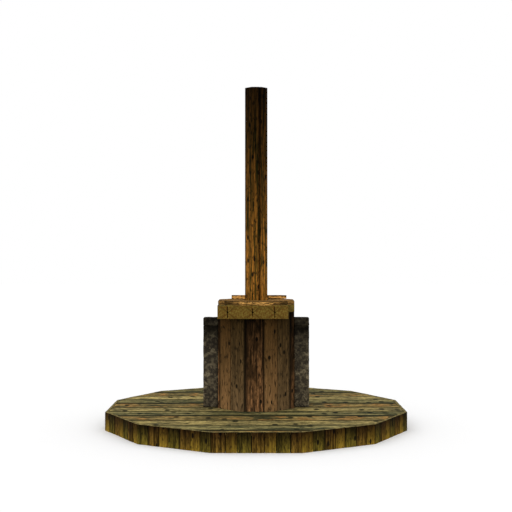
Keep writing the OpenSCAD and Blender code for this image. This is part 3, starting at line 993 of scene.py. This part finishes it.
class WINDMILL_OT_staves(Operator):
    """Stands the staves of the drum's eight walls"""

    bl_idname = "windmill.staves"
    bl_label = "Drum staves"

    def execute(self, context):
        sizes, colours = context.scene.windmill_sizes, context.scene.windmill_colours
        rng = random.Random(STAVE_SEED)
        low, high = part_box("drum_front")
        apothem, side_length, thick, seat = -low.y, high.x - low.x, high.y - low.y, high.z
        wood = stave_oak(colours, low.z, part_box("drum_right")[1].z)
        tall = seat - low.z
        nails = bmesh.new()
        walls = lay_boards(STAVE_RUN, STAVE_START, DRUM_SIDES, side_length, STAVE_LEAST)
        for side, boards in enumerate(walls):
            node = f"drum_{WALLS[side]}"
            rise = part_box(node)[1].z - seat
            piece = bmesh.new()
            place = side_frame(DRUM_SIDES, side, apothem)
            outward = -(place.to_3x3() @ Vector((0, 0, 1)))
            for u0, u1, kind in boards:
                first, last = between_joints(u0, u1, side_length, sizes.stave_gap)
                sunk = rng.uniform(0.0, STAVE_SUNK)
                bm, to_world = upright_board(place, low.z, first, last, tall, thick, sunk, STAVE_CELLS,
                                             sizes.board_wander, u0 * STAVE_STEP + side)
                mitre(bm, DRUM_SIDES, side, STAVE_MITRE)
                if rise > LEAST_RISE:
                    self.raise_beside_beam(bm, rise)
                round_arrises(bm, sizes.stave_arris)
                dirt = [
                    STAVE_DIRT[kind][0] if u0 > -side_length / 2 else CORNER_DIRT,
                    STAVE_DIRT[kind][1] if u1 < side_length / 2 else CORNER_DIRT,
                ]
                mark_board(bm, to_world, kind, rng.uniform(*STAVE_TONES), (last - first) / 2, dirt,
                           rng.uniform(0, GRAIN_SHIFT))
                gather(piece, bm)
                spots = STAVE_NAILS[kind] if last - first > STAVE_NAILED else ()
                for height, across in spots:
                    spot = Vector((low.z + height, (first + last) / 2 + across * (last - first), sunk))
                    add_nail(nails, place @ spot, outward, sizes.nail_radius)
            finish_piece(piece, f"staves_{WALLS[side]}", [wood], [node])
        finish_piece(nails, "stave_nails", [rusted_iron("rusted iron stave nails", colours.nail_iron)])
        return {"FINISHED"}

    def raise_beside_beam(self, bm, rise):
        """Lengthens the part of a stave that stands beside the head beam."""
        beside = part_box("beam_timber_right")[1].x + BEAM_ROOM
        bmesh.ops.bisect_plane(bm, geom=whole(bm), plane_co=(beside, 0.0, 0.0), plane_no=(1.0, 0.0, 0.0))
        tops = [f for f in bm.faces if f.normal.z > FACING and f.calc_center_median().x > beside]
        if tops:
            raised = bmesh.ops.extrude_face_region(bm, geom=tops)["geom"]
            bmesh.ops.translate(bm, vec=(0.0, 0.0, rise), verts=only_verts(raised))
            bmesh.ops.delete(bm, geom=tops, context="FACES_ONLY")


class WINDMILL_OT_lid(Operator):
    """Lays the lid boards round the post, the batten on them and the packing under them"""

    bl_idname = "windmill.lid"
    bl_label = "Lid"

    def execute(self, context):
        sizes, colours = context.scene.windmill_sizes, context.scene.windmill_colours
        rng = random.Random(LID_SEED)
        low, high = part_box("lid_boards")
        wood = lid_pine(colours)
        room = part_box("post")[1].x + POST_ROOM
        floor = low.z + sizes.lid_arris
        boards = bmesh.new()
        for index in range(-LID_EACH_WAY, LID_EACH_WAY + 1):
            at_front, at_back = index == -LID_EACH_WAY, index == LID_EACH_WAY
            y0 = low.y if at_front else (index - 0.5) * LID_PITCH + LID_GAP / 2
            y1 = high.y if at_back else (index + 0.5) * LID_PITCH - LID_GAP / 2
            bm = self.octagon_ring(high.y, room, low.z)
            trim(bm, Vector((0, y0, 0)), Vector((0, -1, 0)), close=False)
            trim(bm, Vector((0, y1, 0)), Vector((0, 1, 0)), close=False)
            bmesh.ops.dissolve_limit(bm, angle_limit=FLAT, verts=bm.verts, edges=bm.edges)
            draw_up(bm, high.z - low.z - rng.uniform(0.0, LID_DROP))
            round_arrises(bm, sizes.lid_arris, worn=lambda edge: max(v.co.z for v in edge.verts) > floor)
            to_world = Matrix.Translation((0.0, (y0 + y1) / 2, (low.z + high.z) / 2))
            dirt = (LID_EDGE_DIRT if at_front else LID_DIRT, LID_EDGE_DIRT if at_back else LID_DIRT)
            mark_board(bm, to_world, RED, rng.uniform(*LID_TONES), (y1 - y0) / 2, dirt,
                       rng.uniform(0, GRAIN_SHIFT))
            self.mark_edges(bm)
            gather(boards, bm)
        finish_piece(boards, "lid_planks", [wood], ["lid_boards"])
        self.lay_batten(sizes, wood, high.y)
        self.pack_beside_beam(sizes, colours, high.y)
        return {"FINISHED"}

    def octagon_ring(self, outer, inner, height):
        """A flat eight-sided ring at one height."""
        bm = bmesh.new()
        edges = []
        for apothem in (outer, inner):
            made = octagon(bm, apothem, height, filled=False)
            edges += each_once(e for v in made["verts"] for e in v.link_edges)
        bmesh.ops.bridge_loops(bm, edges=edges)
        return bm

    def mark_edges(self, bm):
        """Gives the upright edges their fresher wood, the cut ends their dirt, and the upper arrises a
        painted shade.
        """
        board = bm.faces.layers.float_vector["board"]
        for face in bm.faces:
            if abs(face.normal.z) < LID_UPRIGHT:
                face[board].x = GOLD
                face[board].y *= 1.0 - LID_END_LOSS * face[board].z
            # The sloping faces of the upper arris get a painted shade
            elif LID_UPRIGHT < face.normal.z < LID_FLAT:
                face[board].y *= LID_ARRIS_SHADE

    def lay_batten(self, sizes, wood, apothem):
        """The batten behind the post, its ends cut off with the edge of the lid."""
        low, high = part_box("lid_batten")
        size = high - low
        bm = sawn_block(size, BATTEN_CELLS, sizes.board_wander / 2, BATTEN_SEED)
        to_world = Matrix.Translation((low + high) / 2)
        bmesh.ops.transform(bm, matrix=to_world, verts=bm.verts)
        for sign in (-1.0, 1.0):
            outward = Vector((sign, 1.0, 0.0)).normalized()
            trim(bm, outward * (apothem - BATTEN_MARGIN), outward)
        round_arrises(bm, sizes.board_arris)
        dirt = (LID_EDGE_DIRT, LID_EDGE_DIRT)
        mark_board(bm, to_world, RED, BATTEN_TONE, size.y / 2, dirt, BATTEN_SHIFT)
        self.mark_edges(bm)
        finish_piece(bm, "lid_batten_board", [wood], ["lid_batten"])

    def pack_beside_beam(self, sizes, colours, apothem):
        """The packing piece at the right of the beam, under the lid."""
        low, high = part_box("curb_right")
        bm = bmesh.new()
        octagon(bm, apothem, low.z)
        trim(bm, Vector((low.x, 0, 0)), Vector((-1, 0, 0)), close=False)
        draw_up(bm, high.z - low.z)
        round_arrises(bm, sizes.board_arris)
        to_world = Matrix.Translation((low + high) / 2) @ Matrix.Rotation(math.pi / 2, 4, "Z")
        mark_board(bm, to_world, RED, PACKING_TONE, PACKING_HALF, TIMBER_DIRT, PACKING_SHIFT)
        wood = hewn_oak("hewn oak packing", colours)
        finish_piece(bm, "curb_right_block", [wood], ["curb_right"])


class WINDMILL_OT_head_beam(Operator):
    """Hews the timbers of the head beam, with their hearts split at the ends"""

    bl_idname = "windmill.head_beam"
    bl_label = "Head beam"

    def execute(self, context):
        sizes, colours = context.scene.windmill_sizes, context.scene.windmill_colours
        woods = [hewn_oak("hewn oak beam sides", colours), end_grain(colours)]
        for index, (place, heart, tall) in enumerate(TIMBERS):
            node = f"beam_timber_{place}"
            low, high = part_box(node)
            length, width, height = high.y - low.y, high.x - low.x + sizes.timber_closing, high.z - low.z
            cells = max(TIMBER_LEAST_CELLS, round(length / TIMBER_CELL))
            bm = sawn_block((length, width, height), (cells, 1, 1))
            to_world = Matrix.Translation((low + high) / 2) @ Matrix.Rotation(math.pi / 2, 4, "Z")
            if place == "right":
                self.house_post(bm, to_world)
            self.split_hearts(bm, length, heart, tall * height, index)
            shake = bm.faces.layers.int["shake"]
            round_arrises(bm, sizes.timber_arris * BEAM_ARRIS_SHARE, SHARP_TIMBER,
                          worn=lambda edge: not any(f[shake] for f in edge.link_faces))
            bmesh.ops.transform(bm, matrix=to_world, verts=bm.verts)
            mark_board(bm, to_world, RED, 1.0 + TIMBER_TONE_STEP * (index - 1), width / 2, TIMBER_DIRT,
                       index * TIMBER_SHIFT)
            self.mark_ends(bm, heart)
            finish_piece(bm, f"beam_{place}", woods, [node])
        return {"FINISHED"}

    def house_post(self, bm, to_world):
        """Cuts the housing for the post in the side that meets it, after the post's own eight sides."""
        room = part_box("post")[1].x + POST_ROOM
        corner = room * math.tan(math.pi / DRUM_SIDES)
        side = max(v.co.y for v in bm.verts)
        depth = room - (to_world @ Vector((0.0, side, 0.0))).x
        for x in (corner, corner + depth):
            for sign in (-1.0, 1.0):
                bmesh.ops.bisect_plane(bm, geom=whole(bm), plane_co=(sign * x, 0, 0), plane_no=(1, 0, 0))
        for vert in bm.verts:
            if vert.co.y > 0 and abs(vert.co.x) < corner + SAME_PLACE:
                vert.co.y -= depth

    def split_hearts(self, bm, length, heart, tall, seed):
        """Opens a narrow upright shake with short side cracks at the heart of both ends."""
        shake = bm.faces.layers.int.new("shake")
        for sign in (-1.0, 1.0):
            cap = [f for f in bm.faces if f.normal.x * sign > FACING]
            rim = [e for e in bm.edges if len([f for f in e.link_faces if f in cap]) == 1]
            bmesh.ops.delete(bm, geom=cap, context="FACES_ONLY")
            outline = self.heart_outline(heart, tall, random.Random(seed * 2 + (sign > 0)))
            star = [bm.verts.new((sign * length / 2, y, z)) for y, z in outline]
            ring = [bm.edges.new((a, b)) for a, b in zip(star, star[1:] + star[:1])]
            bmesh.ops.triangle_fill(bm, use_beauty=False, edges=rim + ring, normal=(sign, 0, 0))
            sunk = bmesh.ops.extrude_edge_only(bm, edges=ring)["geom"]
            for face in sunk:
                if isinstance(face, bmesh.types.BMFace):
                    face[shake] = 1
            bottom = (sign * (length / 2 - HEART_DEPTH), heart, 0.0)
            bmesh.ops.pointmerge(bm, verts=only_verts(sunk), merge_co=bottom)
        bmesh.ops.recalc_face_normals(bm, faces=bm.faces)

    def heart_outline(self, heart, tall, rng):
        """Outline of a heart shake: a slit that narrows twice, with two pointed cracks to each side."""
        outline = []
        for half in (1.0, -1.0):
            high, low = rng.uniform(*HEART_TIPS), rng.uniform(*HEART_TIPS)
            side = [
                (0.0, tall), (HEART_SLIT * 1.1, tall * 0.95), (HEART_SLIT * 0.8, tall * 0.35),
                (HEART_SLIT, HEART_NICK), (high, high * rng.uniform(*HEART_LEAN)), (HEART_SLIT * 1.2, 0.0),
                (low, -low * rng.uniform(*HEART_LEAN)), (HEART_SLIT, -HEART_NICK),
                (HEART_SLIT * 0.8, -tall * 0.35), (HEART_SLIT * 1.1, -tall * 0.95),
            ]
            outline += [(heart - half * y, half * z) for y, z in side]
        return outline

    def mark_ends(self, bm, heart):
        """Gives both ends their end grain, with the rings round the heart, and marks the shakes."""
        marks = bm.faces.layers.float_vector["board"]
        shake = bm.faces.layers.int["shake"]
        rings = bm.loops.layers.uv["grain"]
        for face in bm.faces:
            if face[shake]:
                face[marks].z = SHAKE_MARK
            if face[marks].z >= END_MARK:
                face.material_index = 1
                for loop in face.loops:
                    loop[rings].uv.x -= heart


class WINDMILL_OT_post(Operator):
    """Raises the eight-sided post with its long drying shakes"""

    bl_idname = "windmill.post"
    bl_label = "Post"

    def execute(self, context):
        sizes, colours = context.scene.windmill_sizes, context.scene.windmill_colours
        low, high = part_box("post")
        apothem = high.x
        bm = bmesh.new()
        octagon(bm, apothem, low.z)
        draw_up(bm, high.z - low.z)
        cut_cells(bm, high - low, axis=2, cuts=POST_CUTS)
        for side, offset in POST_SHAKES:
            self.open_shake(bm, side, offset, apothem)
        round_arrises(bm, sizes.timber_arris * POST_ARRIS_SHARE)
        mark_board(bm, side_frame(DRUM_SIDES, 0, apothem), RED, 1.0, 1.0, TIMBER_DIRT, 0.0)
        self.wrap_grain(bm)
        self.darken_shake_walls_and_lips(bm, apothem)
        # The painted shade on the post starts at the height of the copings' foot
        wood = post_pine(colours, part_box("coping_left")[0].z, high.z)
        finish_piece(bm, "post_timber", [wood], ["post"])
        return {"FINISHED"}

    def open_shake(self, bm, side, offset, apothem):
        """Opens a long drying shake in one face of the post."""
        place = side_frame(DRUM_SIDES, side, apothem)
        axes = place.to_3x3()
        right, inward = axes.col[1], axes.col[2]
        for line in (-SHAKE_LIP, -SHAKE_SLIT, 0.0, SHAKE_SLIT, SHAKE_LIP):
            faces = [f for f in bm.faces if f.normal.dot(-inward) > FACING]
            verts = each_once(v for f in faces for v in f.verts)
            edges = each_once(e for f in faces for e in f.edges)
            point = place @ Vector((0, offset + line, 0))
            bmesh.ops.bisect_plane(bm, geom=verts + edges + faces, plane_co=point, plane_no=right)
        to_side = place.inverted()
        for vert in bm.verts:
            spot = to_side @ vert.co
            aside = abs(spot.y - offset)
            if abs(spot.z) < SAME_PLACE:
                drift = SHAKE_DRIFT * noise.noise(Vector((vert.co.z * SHAKE_BENDS, side, 0.0)))
                if aside < SAME_PLACE:
                    swing = noise.noise(Vector((vert.co.z * SHAKE_DEPTH_BENDS, SHAKE_ROW, side)))
                    depth = SHAKE_DEPTH * (SHAKE_MEAN + SHAKE_SWING * swing)
                    vert.co += inward * depth + right * drift
                elif abs(aside - SHAKE_SLIT) < SAME_PLACE:
                    vert.co += right * drift

    def wrap_grain(self, bm):
        """Wraps the grain map round the post, with the grain upright."""
        grain = bm.loops.layers.uv["grain"]
        along, across = POST_GRAIN_STEP
        for face in bm.faces:
            angle = math.atan2(face.normal.y, face.normal.x) + math.pi / 2
            side = round(angle / (math.tau / DRUM_SIDES)) % DRUM_SIDES
            place = side_frame(DRUM_SIDES, side, 0.0).inverted()
            if abs(face.normal.z) < END_FACING:
                for loop in face.loops:
                    spot = place @ loop.vert.co
                    loop[grain].uv = (spot.x + along * side, spot.y + across * side)

    def darken_shake_walls_and_lips(self, bm, apothem):
        """Darkens the walls of each shake, a painted shade in the crack, and both lips beside it."""
        board = bm.faces.layers.float_vector["board"]
        for side, offset in POST_SHAKES:
            to_side = side_frame(DRUM_SIDES, side, apothem).inverted()
            for face in bm.faces:
                spot = to_side @ face.calc_center_median()
                # Painted shade on the shake's walls, and darker lips beside it
                if abs(spot.z) < SHAKE_DEPTH and abs(spot.y - offset) < SHAKE_LIP:
                    face[board].y = SHAKE_WALL_AND_LIP_TONE


class WINDMILL_OT_stones(Operator):
    """Sets the hewn stones and their copings beside the drum"""

    bl_idname = "windmill.stones"
    bl_label = "Side stones"

    def execute(self, context):
        sizes, colours = context.scene.windmill_sizes, context.scene.windmill_colours
        stone = hewn_basalt(colours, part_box("stone_left")[0].z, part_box("coping_left")[1].z)
        for node in ("stone_left", "stone_right", "coping_left", "coping_right"):
            low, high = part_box(node)
            size = high - low
            bm = bmesh.new()
            bmesh.ops.create_cube(bm, size=1.0, matrix=Matrix.Diagonal((*size, 1.0)))
            round_arrises(bm, STONE_ARRIS)
            for axis in range(3):
                cut_cells(bm, size, axis, max(STONE_LEAST_CELLS, round(size[axis] / STONE_CELL)))
            bmesh.ops.translate(bm, vec=(low + high) / 2, verts=bm.verts)
            self.hew(bm, sizes.stone_relief)
            finish_piece(bm, f"{node}_block", [stone], [node])
        return {"FINISHED"}

    def hew(self, bm, relief):
        """Sinks the surface unevenly, by the relief at most."""
        bm.normal_update()
        moves = []
        for vert in bm.verts:
            rough = noise.fractal(vert.co * STONE_BUMPS, *STONE_LAYERS)
            moves.append(vert.normal * (-relief * (0.5 + 0.5 * max(-1.0, min(1.0, rough)))))
        for vert, move in zip(bm.verts, moves):
            vert.co += move
        for face in bm.faces:
            face.smooth = True


class WINDMILL_OT_stage(Operator):
    """Sets the pale floor, the soft light and the camera"""

    bl_idname = "windmill.stage"
    bl_label = "Stage"

    def execute(self, context):
        scene = context.scene
        scene.view_settings.view_transform = "Standard"
        self.lay_floor(scene)
        self.light_world(scene)
        lamp = bpy.data.lights.new("soft key", "SUN")
        lamp.energy = KEY_STRENGTH
        lamp.angle = KEY_SOFTNESS
        key = bpy.data.objects.new("soft key", lamp)
        key.location = KEY_PLACE
        key.rotation_euler = (Vector(KEY_AIM) - key.location).to_track_quat("-Z", "Y").to_euler()
        scene.collection.objects.link(key)
        view = bpy.data.cameras.new("camera")
        view.lens = CAMERA_LENS
        view.sensor_width = CAMERA_SENSOR
        camera = bpy.data.objects.new("camera", view)
        camera.location = (CAMERA_SIDE, -CAMERA_DISTANCE, CAMERA_HEIGHT)
        camera.rotation_euler = (math.pi / 2, 0.0, 0.0)
        scene.collection.objects.link(camera)
        scene.camera = camera
        return {"FINISHED"}

    def lay_floor(self, scene):
        """A wide pale floor, matt all over, that takes the object's shadow."""
        bm = bmesh.new()
        bmesh.ops.create_grid(bm, x_segments=1, y_segments=1, size=FLOOR_HALF)
        mesh = bpy.data.meshes.new("floor")
        bm.to_mesh(mesh)
        bm.free()
        material, _, shader = new_material("pale studio floor")
        shader.inputs["Base Color"].default_value = FLOOR_WHITE
        shader.inputs["Roughness"].default_value = 1.0
        shader.inputs["Specular IOR Level"].default_value = 0.0
        mesh.materials.append(material)
        floor = bpy.data.objects.new("floor", mesh)
        scene.collection.objects.link(floor)

    def light_world(self, scene):
        """An even white dome, a little dimmer as light than as background."""
        world = bpy.data.worlds.new("studio")
        world.use_nodes = True
        scene.world = world
        tree = world.node_tree
        light = tree.nodes["Background"]
        light.inputs["Color"].default_value = WHITE
        light.inputs["Strength"].default_value = DOME_STRENGTH
        white = add_node(tree, "Background", {"Color": WHITE, "Strength": 1.0})
        rays = add_node(tree, "LightPath", out=None)
        seen = add_node(tree, "Math", {0: rays["Is Camera Ray"], 1: rays["Is Glossy Ray"]},
                        operation="MAXIMUM")
        seen = add_node(tree, "Math", {0: seen, 1: rays["Is Transmission Ray"]}, operation="MAXIMUM")
        mixed = add_node(tree, "MixShader", {0: seen, 1: light.outputs[0], 2: white})
        tree.links.new(mixed, tree.nodes["World Output"].inputs["Surface"])


OPERATORS = (
    WINDMILL_OT_deck_boards,
    WINDMILL_OT_rim_boards,
    WINDMILL_OT_staves,
    WINDMILL_OT_lid,
    WINDMILL_OT_head_beam,
    WINDMILL_OT_post,
    WINDMILL_OT_stones,
    WINDMILL_OT_stage,
)


class WINDMILL_PT_panel(Panel):
    """Lists the windmill's pieces and its settings"""

    bl_label = "Windmill"
    bl_idname = "WINDMILL_PT_panel"
    bl_space_type = "VIEW_3D"
    bl_region_type = "UI"
    bl_category = "Windmill"

    def draw(self, context):
        for operator in OPERATORS:
            self.layout.operator(operator.bl_idname)
        for group in (context.scene.windmill_sizes, context.scene.windmill_colours):
            for name in group.__annotations__:
                self.layout.prop(group, name)


CLASSES = (WindmillSizes, WindmillColours, *OPERATORS, WINDMILL_PT_panel)


def register():
    """Registers the classes and the settings on the scene."""
    for cls in CLASSES:
        bpy.utils.register_class(cls)
    bpy.types.Scene.windmill_sizes = PointerProperty(type=WindmillSizes)
    bpy.types.Scene.windmill_colours = PointerProperty(type=WindmillColours)


def unregister():
    """Removes the settings and the classes."""
    del bpy.types.Scene.windmill_colours
    del bpy.types.Scene.windmill_sizes
    for cls in reversed(CLASSES):
        bpy.utils.unregister_class(cls)


def main():
    """Builds every piece in order."""
    register()
    bpy.ops.windmill.deck_boards()
    bpy.ops.windmill.rim_boards()
    bpy.ops.windmill.staves()
    bpy.ops.windmill.lid()
    bpy.ops.windmill.head_beam()
    bpy.ops.windmill.post()
    bpy.ops.windmill.stones()
    bpy.ops.windmill.stage()


if __name__ == "__main__":
    main()
